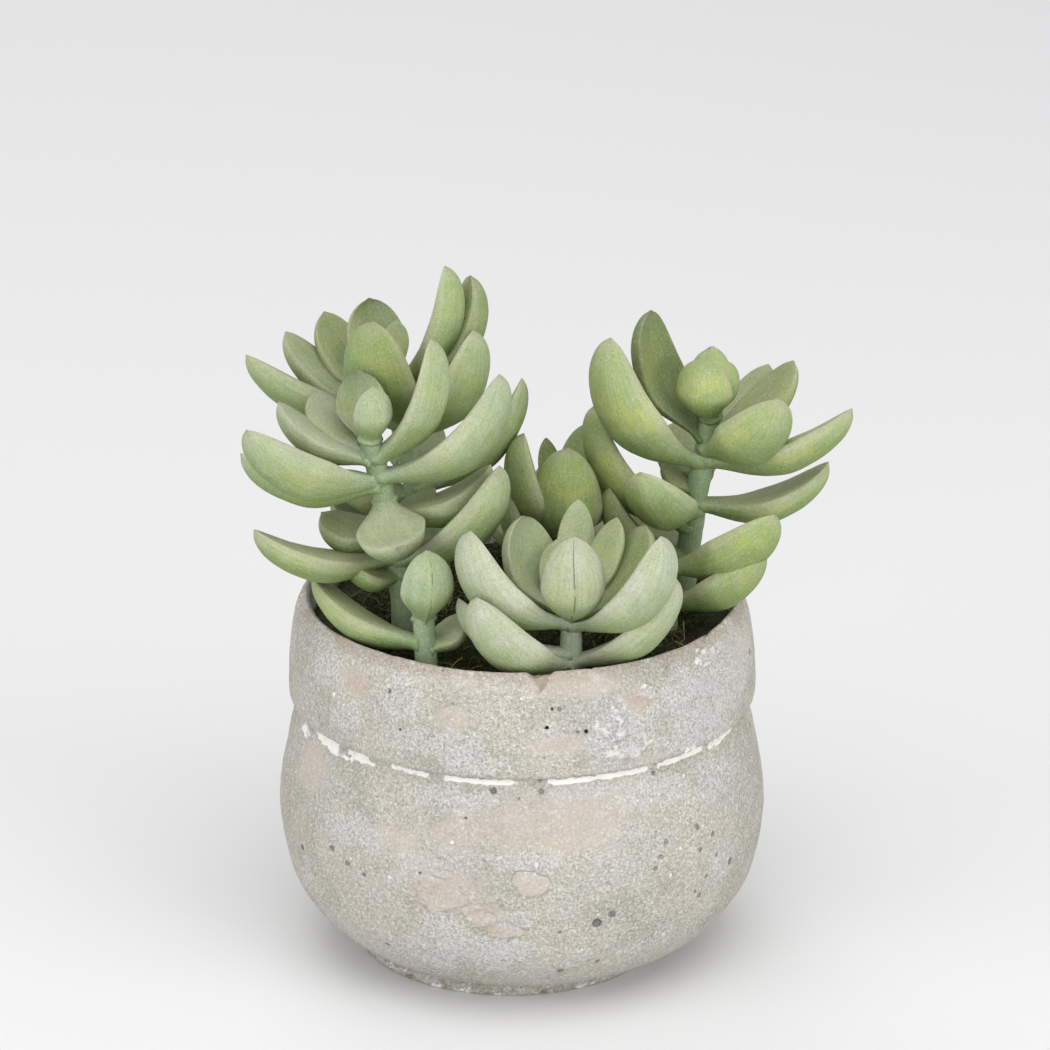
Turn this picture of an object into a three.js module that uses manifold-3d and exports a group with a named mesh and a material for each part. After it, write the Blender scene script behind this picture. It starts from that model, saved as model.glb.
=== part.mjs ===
// A succulent with fat, upturned leaves on short stems, planted in a round cement pot.
// Millimetres, +Z up. The origin is the centre of the pot's underside, and the front faces -Y.
import * as THREE from "three";
import { mergeVertices } from "three/addons/utils/BufferGeometryUtils.js";
import Module from "manifold-3d";

const wasm = await Module();
wasm.setup();

const CLEARANCE = 0.3; // gap between pieces that touch on the real plant

// ---------------------------------------------------------------- sizes

const POT = {
  segments: 40,
  footRadius: 40,
  footHeight: 3,
  footShift: -2.8, // the foot sits off centre, to the left
  bellyRadius: 61.9,
  bellyHeight: 40, // where the body is widest
  grooveHeight: 67.2, // the step between body and collar
  grooveRadius: 57,
  collarRadius: 59.2,
  rimHeight: 94.6,
  mouthRadius: 53, // inside the rim
  floorThickness: 11,
};

const SOIL_TOP = 84;
const MOSS = { rings: 6, segments: 32, thickness: 2.6, lump: 0.7 };

const STEM = {
  sides: 7,
  steps: 7,
  rootRadius: 3.4,
  topRadius: 2.6,
  rootDepth: 20, // how far it reaches into the soil
  lastLeaf: 0.999, // the highest leaves start just inside the stem's flat top
};

const LEAF = {
  sides: 8,
  rings: [0, 0.13, 0.32, 0.54, 0.75, 0.9, 0.97], // shares of the length; the tip is at 1
  neckWidth: 5,
  neckThickness: 4.4,
  topBulge: 0.16, // shares of the leaf's width
  bellyBulge: 0.42,
  widest: 0.52, // share of the length where the leaf is at full width
  tipTaper: 4, // higher starts to narrow later
  tipRoundness: 0.6, // lower is blunter
};

// ---------------------------------------------------------------- helpers

// A closed solid from rings of points, capped flat at the start, and at the end unless it has a tip.
function solidFromRings(rings, tip) {
  const sides = rings[0].length;
  const points = rings.flat();
  const faces = [];
  for (let r = 0; r + 1 < rings.length; r++) {
    for (let s = 0; s < sides; s++) {
      const a = r * sides + s;
      const b = r * sides + ((s + 1) % sides);
      faces.push(a, b, b + sides, a, b + sides, a + sides);
    }
  }
  for (let s = 1; s + 1 < sides; s++) faces.push(0, s + 1, s);
  const last = (rings.length - 1) * sides;
  if (tip) {
    points.push(tip);
    for (let s = 0; s < sides; s++) faces.push(last + s, last + ((s + 1) % sides), points.length - 1);
  } else {
    for (let s = 1; s + 1 < sides; s++) faces.push(last, last + s, last + s + 1);
  }
  const geometry = new THREE.BufferGeometry().setFromPoints(points);
  geometry.setIndex(faces);
  return solidFromGeometry(geometry);
}

function solidFromGeometry(geometry) {
  const bare = geometry.clone();
  bare.deleteAttribute("normal");
  bare.deleteAttribute("uv");
  const merged = mergeVertices(bare, 1e-4);
  return new wasm.Manifold(
    new wasm.Mesh({
      numProp: 3,
      vertProperties: new Float32Array(merged.attributes.position.array),
      triVerts: new Uint32Array(merged.index.array),
    }),
  );
}

function geometryFromSolid(solid) {
  const made = solid.getMesh();
  const geometry = new THREE.BufferGeometry();
  geometry.setAttribute("position", new THREE.BufferAttribute(made.vertProperties, 3));
  geometry.setIndex(new THREE.BufferAttribute(made.triVerts, 1));
  geometry.computeVertexNormals();
  return geometry;
}

function latheSolid(profile, segments) {
  const geometry = new THREE.LatheGeometry(profile, segments);
  geometry.rotateX(Math.PI / 2); // the lathe turns about Y, the pot about Z
  return solidFromGeometry(geometry);
}

// The foot of the pot is pressed on by hand, a little off centre.
function shiftFoot(solid) {
  return solid.warp((vertex) => {
    if (vertex[2] <= POT.footHeight + 0.01) vertex[0] += POT.footShift;
  });
}

// ---------------------------------------------------------------- stems and leaves

// Each stem: where it stands, where its shoot passes, and its leaves. A leaf is
// [share of the shoot's height, azimuth, rise at the base, curl up to the tip, length, width, roll].
// Azimuth 0 points right, 90 to the back, 270 to the front. Angles are in degrees.
const STEMS = {
  stem_front_left: {
    shoot: [[-28.5, -16, 84], [-30.5, -18, 107], [-34, -22, 128], [-37, -26, 144]],
    leaves: [
      [0.8, 200, 3, 48, 39, 19, 35],
      [0.78, 178, -10, 45, 36, 16, 20],
      [0.9, 165, 10, 35, 28, 15, 10],
      [0.93, 132, 6, 35, 25, 15, 0],
      [0.99, 105, 34, 30, 19, 13.5, 0],
      [1, 290, 65, 25, 15, 10.5, 0],
      [0.9, 345, 36, 60, 37, 15.5, -10],
      [0.82, 352, 11, 64, 43, 20, -20],
      [0.71, 282, -40, 46, 20, 18, 12],
      [0.62, 20, 9, 35, 14, 11, 0],
      [0.64, 12, 0, 45, 29, 18, -15],
      [0.42, 345, 21, 50, 39, 19, -15],
      [0.44, 195, -5, 42, 38, 17, 10],
      [0.55, 155, -14, 40, 20, 17, 0],
      [0.35, 203, 8, 30, 15, 13, 0],
    ],
  },
  stem_back_left: {
    shoot: [[-20, 8, 84], [-24, 7, 108], [-29, 5, 130], [-32, 4, 152]],
    leaves: [
      [0.79, 185, 12, 28, 43, 17, 25],
      [0.82, 160, 13, 35, 36, 16, 0],
      [0.86, 138, 16, 40, 32, 17, 0],
      [0.95, 125, 41, 35, 22, 17, 0],
      [0.8, 242, 46, 40, 33, 20, 0],
      [1, 80, 50, 30, 12, 7, 0],
      [0.92, 350, 44, 50, 36, 15.5, -10],
      [0.9, 14, 32, 50, 36, 20, 0],
      [0.74, 335, 32, 50, 37, 18, -10],
      [0.52, 358, 23, 50, 41, 15, -10],
      [0.62, 85, -15, 40, 32, 16, 0],
      [0.5, 160, -12, 40, 23, 16, 0],
      [0.3, 165, 0, 40, 28, 14, 0],
      [0.25, 60, 5, 45, 30, 14, 0],
    ],
  },
  stem_low_left: {
    shoot: [[-23, -38, 84], [-23.5, -39, 94], [-24, -39, 103]],
    leaves: [
      [0.62, 143, -3, 38, 37, 16, 25],
      [0.95, 283, 52, 50, 21, 14, 0],
      [0.55, 30, 16, 35, 13, 11, 0],
    ],
  },
  stem_front: {
    shoot: [[12, -38, 84], [12, -38, 95], [12, -38, 104]],
    leaves: [
      [0.92, 272, 40, 50, 29, 16.5, 0],
      [0.86, 196, 10, 72, 39, 18.5, 25],
      [0.28, 212, 16, 50, 37, 17.5, 25],
      [0.42, 186, 5, 50, 33, 15, 25],
      [0.84, 330, 14, 68, 39, 18.5, -12],
      [0.32, 345, 18, 50, 37, 15, -20],
      [0.92, 142, 34, 45, 28, 19, 0],
      [1, 112, 46, 25, 18, 12.5, 0],
      [1, 48, 34, 30, 26, 11, 0],
      [1, 84, 33, 36, 29, 11, 25],
      [0.9, 28, 20, 50, 30, 17, 0],
    ],
  },
  stem_middle: {
    shoot: [[13, 4, 84], [13, 4, 98], [13, 3, 112]],
    leaves: [
      [0.72, 254, 57, 45, 30, 19, 0],
      [0.8, 193, 44, 45, 33, 18, 0],
      [0.9, 120, 35, 40, 25, 8, 0],
      [0.9, 78, 32, 40, 29, 15, 0],
      [0.4, 195, 35, 45, 32, 14, 0],
    ],
  },
  stem_right: {
    shoot: [[40, 6, 84], [42, 4, 105], [44.5, 2, 124], [47, 0, 142]],
    leaves: [
      [0.76, 200, 20, 70, 46, 19, 28],
      [0.88, 168, 43, 45, 36, 17.5, -20],
      [0.97, 240, 58, 50, 17, 16, 0],
      [1, 350, 60, 30, 14, 10, 0],
      [0.86, 30, 13, 40, 31, 15, 0],
      [0.86, 50, 8, 40, 29, 14, 0],
      [0.82, 320, 14, 50, 30, 18.5, -35],
      [0.77, 350, 3, 40, 41, 17.5, -15],
      [0.56, 6, -9, 50, 36, 17, -10],
      [0.52, 235, 16, 40, 31, 18, 15],
      [0.44, 177, 25, 55, 42, 17.5, 25],
      [0.62, 150, 19, 30, 12, 9, 0],
      [0.3, 200, 20, 50, 31, 16, 0],
      [0.7, 100, -15, 40, 32, 16, 0],
      [0.3, 118, -6, 40, 28, 14, 0],
    ],
  },
  stem_low_right: {
    shoot: [[36, -9, 84], [36, -9, 94], [36.5, -9, 105]],
    leaves: [
      [0.95, 342, 11, 42, 33, 18, -40],
      [0.5, 342, 14, 45, 31, 16, -30],
      [0.55, 215, 20, 40, 14, 10, 0],
    ],
  },
  stem_back: {
    shoot: [[8, 28, 84], [10, 29, 92], [11, 30, 100]],
    leaves: [
      [0.5, 90, 5, 45, 30, 15, 0],
      [0.6, 150, 5, 45, 28, 15, 0],
      [0.6, 30, 5, 45, 28, 15, 0],
      [0.9, 110, 35, 45, 20, 13, 0],
      [0.9, 210, 20, 40, 18, 13, 0],
      [0.95, 340, 35, 40, 18, 12, 0],
    ],
  },
};

function shootCurve(shoot, depth) {
  const [x, y, z] = shoot[0];
  const points = [new THREE.Vector3(x, y, z - depth), ...shoot.map((p) => new THREE.Vector3(...p))];
  return new THREE.CatmullRomCurve3(points, false, "centripetal");
}

function ringAround(centre, tangent, radius, sides) {
  const side = new THREE.Vector3(0, 1, 0).cross(tangent).normalize();
  const front = new THREE.Vector3().crossVectors(tangent, side);
  return Array.from({ length: sides }, (_, s) => {
    const angle = (2 * Math.PI * s) / sides;
    const sideways = side.clone().multiplyScalar(radius * Math.cos(angle));
    return centre.clone().add(sideways).addScaledVector(front, radius * Math.sin(angle));
  });
}

// The stem from its root to its top. grow makes the fatter copy that cuts its hole.
function stemSolid(shoot, grow = 0) {
  const curve = shootCurve(shoot, STEM.rootDepth + grow);
  const rings = [];
  for (let i = 0; i <= STEM.steps; i++) {
    const t = i / STEM.steps;
    const radius = THREE.MathUtils.lerp(STEM.rootRadius, STEM.topRadius, t) + grow;
    rings.push(ringAround(curve.getPointAt(t), curve.getTangentAt(t), radius, STEM.sides));
  }
  return solidFromRings(rings);
}

// How wide and thick a leaf is at a share t of its length: narrow at the neck, blunt at the tip.
function leafProfile(t, width) {
  const { lerp, smoothstep } = THREE.MathUtils;
  const fill = Math.pow(1 - Math.pow(t, LEAF.tipTaper), LEAF.tipRoundness);
  const swell = smoothstep(t, 0, LEAF.widest);
  const halfWidth = (fill * lerp(LEAF.neckWidth, width, swell)) / 2;
  const top = fill * lerp(LEAF.neckThickness / 2, width * LEAF.topBulge, swell);
  const belly = fill * lerp(LEAF.neckThickness / 2, width * LEAF.bellyBulge, swell);
  return { halfWidth, top, belly };
}

// A leaf swept along an arc that leaves the stem at its rise and curls upward.
function leafSolid(base, [, azimuth, rise, curl, length, width, roll]) {
  const toRad = THREE.MathUtils.degToRad;
  const out = new THREE.Vector3(Math.cos(toRad(azimuth)), Math.sin(toRad(azimuth)), 0);
  const sky = new THREE.Vector3(0, 0, 1);
  const side = new THREE.Vector3().crossVectors(sky, out);
  const start = toRad(rise);
  const bend = toRad(curl);
  const along = (t) => {
    const angle = start + bend * t;
    const run = (length / bend) * (Math.sin(angle) - Math.sin(start));
    const climb = (length / bend) * (Math.cos(start) - Math.cos(angle));
    return { angle, centre: base.clone().addScaledVector(out, run).addScaledVector(sky, climb) };
  };
  const rings = LEAF.rings.map((t) => {
    const { angle, centre } = along(t);
    const { halfWidth, top, belly } = leafProfile(t, width);
    const tangent = out.clone().multiplyScalar(Math.cos(angle)).addScaledVector(sky, Math.sin(angle));
    const across = side.clone().applyAxisAngle(tangent, toRad(roll));
    const up = new THREE.Vector3().crossVectors(tangent, across);
    return Array.from({ length: LEAF.sides }, (_, s) => {
      const turn = (2 * Math.PI * s) / LEAF.sides;
      const height = Math.sin(turn) * (Math.sin(turn) > 0 ? top : belly);
      return centre.clone().addScaledVector(across, halfWidth * Math.cos(turn)).addScaledVector(up, height);
    });
  });
  return solidFromRings(rings, along(1).centre);
}

function leafyStem({ shoot, leaves }) {
  const curve = shootCurve(shoot, 0);
  const grown = leaves.map((leaf) => leafSolid(curve.getPointAt(leaf[0] * STEM.lastLeaf), leaf));
  return wasm.Manifold.union([stemSolid(shoot), ...grown]);
}

// ---------------------------------------------------------------- pot, soil and moss

const point = (radius, height) => new THREE.Vector2(radius, height);

// Points on a smooth curve through the given ones.
const smoothRun = (points, count) => new THREE.SplineCurve(points).getPoints(count);

// The inside of the pot, from its floor to its mouth.
const cavity = [
  point(36, POT.floorThickness),
  point(44, POT.floorThickness + 5),
  point(48.5, 30),
  point(51.5, 60),
  point(POT.mouthRadius, 90),
];

// The inside radius where the soil ends, between the last two points of the cavity.
function soilRimRadius() {
  const [low, high] = cavity.slice(-2);
  return THREE.MathUtils.mapLinear(SOIL_TOP, low.y, high.y, low.x, high.x) - CLEARANCE;
}

function potProfile() {
  const body = smoothRun(
    [
      point(POT.footRadius, POT.footHeight),
      point(46.4, 6.2),
      point(51.2, 10),
      point(56.2, 16),
      point(59.9, 24),
      point(POT.bellyRadius, POT.bellyHeight),
      point(59.4, 56),
      point(POT.grooveRadius, POT.grooveHeight),
    ],
    10,
  );
  const collar = smoothRun(
    [
      point(POT.collarRadius - 1.2, POT.grooveHeight + 0.4),
      point(POT.collarRadius, POT.grooveHeight + 2),
      point(58.8, 80),
      point(57.7, 87.5),
      point(56.2, 92),
      point(54.4, POT.rimHeight),
      point(POT.mouthRadius, 93.6),
    ],
    8,
  );
  return [
    point(0, 0),
    point(POT.footRadius - 0.8, 0),
    point(POT.footRadius, 0.8),
    ...body,
    ...collar,
    ...cavity.toReversed(),
    point(0, POT.floorThickness),
  ];
}

// Soil fills the cavity up to its top, with holes where the stems stand.
function soilSolid(holes) {
  const inset = cavity.map(({ x, y }) => point(x - CLEARANCE, y + CLEARANCE));
  const wall = inset.filter(({ y }) => y < SOIL_TOP);
  const profile = [point(0, wall[0].y), ...wall, point(soilRimRadius(), SOIL_TOP), point(0, SOIL_TOP)];
  return latheSolid(profile, POT.segments).subtract(holes);
}

// The height of the lumpy moss: waves about 20 mm long crossed by waves of 10 mm.
function mossHeight(x, y) {
  const broad = Math.sin(0.31 * x + 1.2) * Math.cos(0.27 * y - 0.6);
  const fine = 0.6 * Math.sin(0.57 * y + 0.23 * x);
  return SOIL_TOP + CLEARANCE + MOSS.thickness + MOSS.lump * (broad + fine);
}

function mossSolid(holes) {
  const bottom = SOIL_TOP + CLEARANCE;
  const rim = soilRimRadius();
  const points = [new THREE.Vector3(0, 0, mossHeight(0, 0))];
  const faces = [];
  for (let r = 1; r <= MOSS.rings; r++) {
    const radius = (rim * r) / MOSS.rings;
    for (let s = 0; s < MOSS.segments; s++) {
      const angle = (2 * Math.PI * s) / MOSS.segments;
      const x = radius * Math.cos(angle);
      const y = radius * Math.sin(angle);
      points.push(new THREE.Vector3(x, y, mossHeight(x, y)));
    }
  }
  const at = (r, s) => 1 + (r - 1) * MOSS.segments + (s % MOSS.segments);
  for (let s = 0; s < MOSS.segments; s++) {
    faces.push(0, at(1, s), at(1, s + 1));
    for (let r = 1; r < MOSS.rings; r++) {
      faces.push(at(r, s), at(r + 1, s), at(r + 1, s + 1), at(r, s), at(r + 1, s + 1), at(r, s + 1));
    }
  }
  const edge = points.length;
  for (let s = 0; s < MOSS.segments; s++) {
    const angle = (2 * Math.PI * s) / MOSS.segments;
    points.push(new THREE.Vector3(rim * Math.cos(angle), rim * Math.sin(angle), bottom));
  }
  points.push(new THREE.Vector3(0, 0, bottom));
  const under = (s) => edge + (s % MOSS.segments);
  for (let s = 0; s < MOSS.segments; s++) {
    const [near, next] = [at(MOSS.rings, s), at(MOSS.rings, s + 1)];
    faces.push(near, under(s), under(s + 1), near, under(s + 1), next);
    faces.push(points.length - 1, under(s + 1), under(s));
  }
  const geometry = new THREE.BufferGeometry().setFromPoints(points);
  geometry.setIndex(faces);
  return solidFromGeometry(geometry).subtract(holes);
}

// ---------------------------------------------------------------- the plant in its pot

const finishes = {
  cement: { color: 0xb9b4a8, roughness: 0.92, metalness: 0 },
  soil: { color: 0x2e2419, roughness: 1, metalness: 0 },
  moss: { color: 0x333319, roughness: 1, metalness: 0 },
  leaf: { color: 0x93a876, roughness: 0.7, metalness: 0 },
};

const group = new THREE.Group();

function add(name, solid, finish) {
  const mesh = new THREE.Mesh(geometryFromSolid(solid), new THREE.MeshStandardMaterial(finishes[finish]));
  mesh.name = name;
  group.add(mesh);
}

const holes = wasm.Manifold.union(Object.values(STEMS).map(({ shoot }) => stemSolid(shoot, CLEARANCE)));

add("pot", shiftFoot(latheSolid(potProfile(), POT.segments)), "cement");
add("soil", soilSolid(holes), "soil");
add("moss", mossSolid(holes), "moss");
for (const [name, stem] of Object.entries(STEMS)) add(name, leafyStem(stem), "leaf");

export default group;
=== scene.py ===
import math

import bpy
import numpy as np
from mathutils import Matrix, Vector, noise


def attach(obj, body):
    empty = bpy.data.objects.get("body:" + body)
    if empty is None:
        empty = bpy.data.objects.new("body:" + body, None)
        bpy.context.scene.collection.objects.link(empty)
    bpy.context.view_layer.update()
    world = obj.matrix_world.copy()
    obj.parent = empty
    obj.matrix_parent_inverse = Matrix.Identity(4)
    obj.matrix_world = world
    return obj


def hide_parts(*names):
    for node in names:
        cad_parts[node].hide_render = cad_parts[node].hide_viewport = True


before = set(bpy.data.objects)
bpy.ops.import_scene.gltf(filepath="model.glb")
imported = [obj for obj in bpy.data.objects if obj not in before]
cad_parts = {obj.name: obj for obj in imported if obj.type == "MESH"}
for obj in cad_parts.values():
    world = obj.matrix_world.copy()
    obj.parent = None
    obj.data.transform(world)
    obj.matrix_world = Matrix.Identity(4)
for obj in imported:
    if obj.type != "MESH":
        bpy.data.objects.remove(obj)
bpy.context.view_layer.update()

mm = 0.001


# Nodes, shared by every tree in this file.

class Wire:  # an output of a node; arithmetic on it adds Math nodes
    def __init__(self, socket):
        self.socket, self.tree = socket, socket.id_data

    def also(self, name):  # another output of the same node
        return Wire(self.socket.node.outputs[name])

    def __add__(self, other): return calc("ADD", self, other)
    def __radd__(self, other): return calc("ADD", other, self)
    def __sub__(self, other): return calc("SUBTRACT", self, other)
    def __rsub__(self, other): return calc("SUBTRACT", other, self)

    def __mul__(self, other):
        return calc("SCALE" if isVector(self) and not isVector(other) else "MULTIPLY", self, other)

    def __truediv__(self, other): return calc("DIVIDE", self, other)
    def __pow__(self, other): return calc("POWER", self, other)
    def __abs__(self): return calc("ABSOLUTE", self)
    def __gt__(self, other): return calc("GREATER_THAN", self, other)
    def __lt__(self, other): return calc("LESS_THAN", self, other)


def isVector(value):
    if isinstance(value, Wire):
        return value.socket.type in {"VECTOR", "RGBA"}
    return isinstance(value, (tuple, Vector))


def make(tree, kind, inputs=None, output=0, **settings):  # adds a node and returns one of its outputs
    node = tree.nodes.new(kind)
    for name, value in settings.items():
        setattr(node, name, value)
    for key, values in (inputs or {}).items():
        for value in values if isinstance(values, list) else [values]:
            if isinstance(value, Wire):
                tree.links.new(value.socket, node.inputs[key])
            else:
                node.inputs[key].default_value = value
    return Wire(node.outputs[output])


def link(wire, socket):
    wire.tree.links.new(wire.socket, socket)


def calc(operation, *values, clamp=False):
    tree = next(value.tree for value in values if isinstance(value, Wire))
    if not any(isVector(value) for value in values):
        return make(tree, "ShaderNodeMath", dict(enumerate(values)), operation=operation, use_clamp=clamp)
    inputs = {0: values[0], "Scale": values[1]} if operation == "SCALE" else dict(enumerate(values))
    output = "Value" if operation in {"DOT_PRODUCT", "DISTANCE", "LENGTH"} else "Vector"
    return make(tree, "ShaderNodeVectorMath", inputs, output, operation=operation)


def larger(first, second): return calc("MAXIMUM", first, second)
def sine(angle): return calc("SINE", angle)
def cosine(angle): return calc("COSINE", angle)


def combined(tree, x=0.0, y=0.0, z=0.0):
    return make(tree, "ShaderNodeCombineXYZ", {"X": x, "Y": y, "Z": z})


def separated(vector, axis):
    return make(vector.tree, "ShaderNodeSeparateXYZ", {0: vector}, axis)


def ramp(value, low, high, start=0.0, end=1.0):  # a smooth step from start to end
    inputs = {"Value": value, "From Min": low, "From Max": high, "To Min": start, "To Max": end}
    return make(value.tree, "ShaderNodeMapRange", inputs, "Result", interpolation_type="SMOOTHSTEP")


def blend(share, first, second):
    return make(share.tree, "ShaderNodeMix", {0: share, 6: first, 7: second}, 2, data_type="RGBA")


def noiseAt(place, scale, detail=2.0, roughness=0.5):
    inputs = {"Vector": place, "Scale": scale, "Detail": detail, "Roughness": roughness}
    return make(place.tree, "ShaderNodeTexNoise", inputs)


def cloudsAt(place, low, high, scale, detail=2.0, roughness=0.5):  # noise, clear below low and full above high
    return ramp(noiseAt(place, scale, detail, roughness), low, high)


def painted(tree, *names):  # the mesh's own attributes
    return [make(tree, "ShaderNodeAttribute", output="Fac", attribute_name=name) for name in names]


def srgb(red, green, blue):  # an 8-bit colour as a linear one
    shares = (red / 255, green / 255, blue / 255)
    return tuple(c / 12.92 if c < 0.04045 else ((c + 0.055) / 1.055) ** 2.4 for c in shares) + (1.0,)


def newGroup(name, inputs, kind="ShaderNodeTree"):  # each input has its default, or the kind of its socket
    tree = bpy.data.node_groups.new(name, kind)
    for label, value in inputs.items():
        sort = value if isinstance(value, str) else "Int" if isinstance(value, int) else "Float"
        socket = tree.interface.new_socket(name=label, in_out="INPUT", socket_type="NodeSocket" + sort)
        if value is not sort:
            socket.default_value = value
    label, sort = ("Mask", "Float") if kind == "ShaderNodeTree" else ("Geometry", "Geometry")
    tree.interface.new_socket(name=label, in_out="OUTPUT", socket_type="NodeSocket" + sort)
    given = {socket.name: Wire(socket) for socket in tree.nodes.new("NodeGroupInput").outputs if socket.name}
    return tree, given, tree.nodes.new("NodeGroupOutput").inputs[label]


def useGroup(group, **inputs):
    return make(inputs["Place"].tree, "ShaderNodeGroup", inputs, node_tree=group)


def brokenEdgeGroup():  # a painted share becomes a mask whose edge is broken up by noise
    tree, given, mask = newGroup("brokenEdge", {
        "Place": "Vector", "Share": 0.0, "Scale": 300.0, "Raggedness": 0.5, "Softness": 0.1})
    grain = (noiseAt(given["Place"], given["Scale"], 4.0, 0.6) - 0.5) * given["Raggedness"]
    link(ramp(grain * 2.0 + given["Share"], 0.5 - given["Softness"], 0.5 + given["Softness"]), mask)
    return tree


def speckleGroup():  # scattered fine dots
    tree, given, mask = newGroup("speckle", {
        "Place": "Vector", "Scale": 1200.0, "Threshold": 0.6, "Softness": 0.06})
    low, softness = given["Threshold"], given["Softness"]
    link(cloudsAt(given["Place"], low, low + softness, given["Scale"], 2.0, 0.7), mask)
    return tree


def spotGroup():  # one round spot
    tree, given, mask = newGroup("spot", {"Place": "Vector", "Centre": "Vector", "Radius": 1 * mm})
    place, radius = given["Place"], given["Radius"]
    away = (noiseAt(place, 900.0) - 0.5) * (radius * 1.2) + calc("DISTANCE", place, given["Centre"])
    link(ramp(away, radius * 0.75, radius, 1.0, 0.0), mask)
    return tree


brokenEdge = brokenEdgeGroup()
speckle = speckleGroup()
spot = spotGroup()


def newMaterial(name, roughness, specular=0.5):
    material = bpy.data.materials.new(name)
    material.use_nodes = True
    shader = material.node_tree.nodes["Principled BSDF"].inputs
    shader["Roughness"].default_value = roughness
    shader["Specular IOR Level"].default_value = specular
    return material, shader, make(material.node_tree, "ShaderNodeTexCoord", output="Object")


class Paint:  # a colour that takes one layer after another
    def __init__(self, colours, ground):
        self.colours, self.colour = colours, colours[ground]

    def layer(self, share, name):
        self.colour = blend(share, self.colour, self.colours[name])


def coat(shader, colour, relief, depth, strength=1.0):  # gives the shader its colour and its bumps
    link(colour, shader["Base Color"])
    bump = {"Height": relief, "Distance": depth, "Strength": strength}
    link(make(colour.tree, "ShaderNodeBump", bump, "Normal"), shader["Normal"])


def newObject(name, data):
    thing = bpy.data.objects.new(name, data)
    bpy.context.scene.collection.objects.link(thing)
    return thing


def newPiece(name, mesh, material, node):
    piece = newObject(name, mesh)
    if material.name not in mesh.materials:
        mesh.materials.clear()
        mesh.materials.append(material)
    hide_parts(node)
    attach(piece, "root")


def smoothRun(points, steps):  # Catmull-Rom through the points, with this many steps between each two
    run = []
    padded = [points[0]] + points + [points[-1]]
    for before, here, there, after in zip(padded, points, points[1:], padded[3:]):
        leave, arrive = (there - before) / 2, (after - here) / 2
        for s in range(steps):
            t = s / steps
            run.append((2 * here - 2 * there + leave + arrive) * t ** 3
                       + (3 * there - 3 * here - 2 * leave - arrive) * t ** 2 + leave * t + here)
    return run + [points[-1].copy()]


def evenRun(path, spacing=None, count=None):  # the same path with evenly spaced points
    lengths = [0.0]
    for first, second in zip(path, path[1:]):
        lengths.append(lengths[-1] + (second - first).length)
    count = count or max(1, round(lengths[-1] / spacing))
    even, i = [], 0
    for step in range(count + 1):
        goal = lengths[-1] * step / count
        while i < len(path) - 2 and lengths[i + 1] < goal:
            i += 1
        share = (goal - lengths[i]) / max(lengths[i + 1] - lengths[i], 1e-9)
        even.append(path[i].lerp(path[i + 1], min(share, 1.0)))
    return even


# Camera, lights and floor.

view = {
    "target": (0.75 * mm, 0.0, 111.5 * mm),
    "elevation": 21.0,
    "distance": 1.25,
    "lens": 171.4,
}

studio = {
    # place, size and power of each light
    "lights": {
        "key": ((0.1, -0.8, 1.6), 1.6, 15.0),
        "right": ((1.5, -1.2, 0.45), 1.4, 16.0),
        "left": ((-1.6, -1.0, 0.5), 1.4, 12.5),
        "back": ((-0.4, 1.2, 1.3), 1.0, 4.0),
        "front": ((0.0, -1.9, 0.35), 1.4, 6.0),
    },
    "aim": (0, 0, 0.1),
    "sky": 0.59,
    "floor": srgb(228, 228, 229),
    "floorHalf": 3.0,
}


def placeCamera():
    lens = bpy.data.cameras.new("camera")
    lens.lens = view["lens"]
    camera = newObject("camera", lens)
    tilt = math.radians(view["elevation"])
    away = Vector((0, -math.cos(tilt), math.sin(tilt))) * view["distance"]
    camera.location = Vector(view["target"]) + away
    camera.rotation_euler = (math.pi / 2 - tilt, 0, 0)
    bpy.context.scene.camera = camera


def placeLight(name, place, size, power):
    light = bpy.data.lights.new(name, "AREA")
    light.size, light.energy = size, power
    lamp = newObject(name, light)
    lamp.location = place
    lamp.rotation_euler = (Vector(place) - Vector(studio["aim"])).to_track_quat("Z", "Y").to_euler()


def layFloor():
    half = studio["floorHalf"]
    mesh = bpy.data.meshes.new("floor")
    mesh.from_pydata([(-half, -half, 0), (half, -half, 0), (half, half, 0), (-half, half, 0)], [], [(0, 1, 2, 3)])
    material, shader, place = newMaterial("paleFloor", 0.9)
    shader["Base Color"].default_value = studio["floor"]
    mesh.materials.append(material)
    newObject("floor", mesh)


def makeStudio():
    for name, values in studio["lights"].items():
        placeLight(name, *values)
    world = bpy.data.worlds.new("sky")
    world.use_nodes = True
    sky = world.node_tree.nodes["Background"].inputs
    sky["Color"].default_value = (1, 1, 1, 1)
    sky["Strength"].default_value = studio["sky"]
    bpy.context.scene.world = world
    bpy.context.scene.view_settings.view_transform = "Standard"
    layFloor()


placeCamera()
makeStudio()
print("camera and studio placed")


# The pot. Places on it are an azimuth in degrees, 270 being the front, and a height in millimetres.

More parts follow.
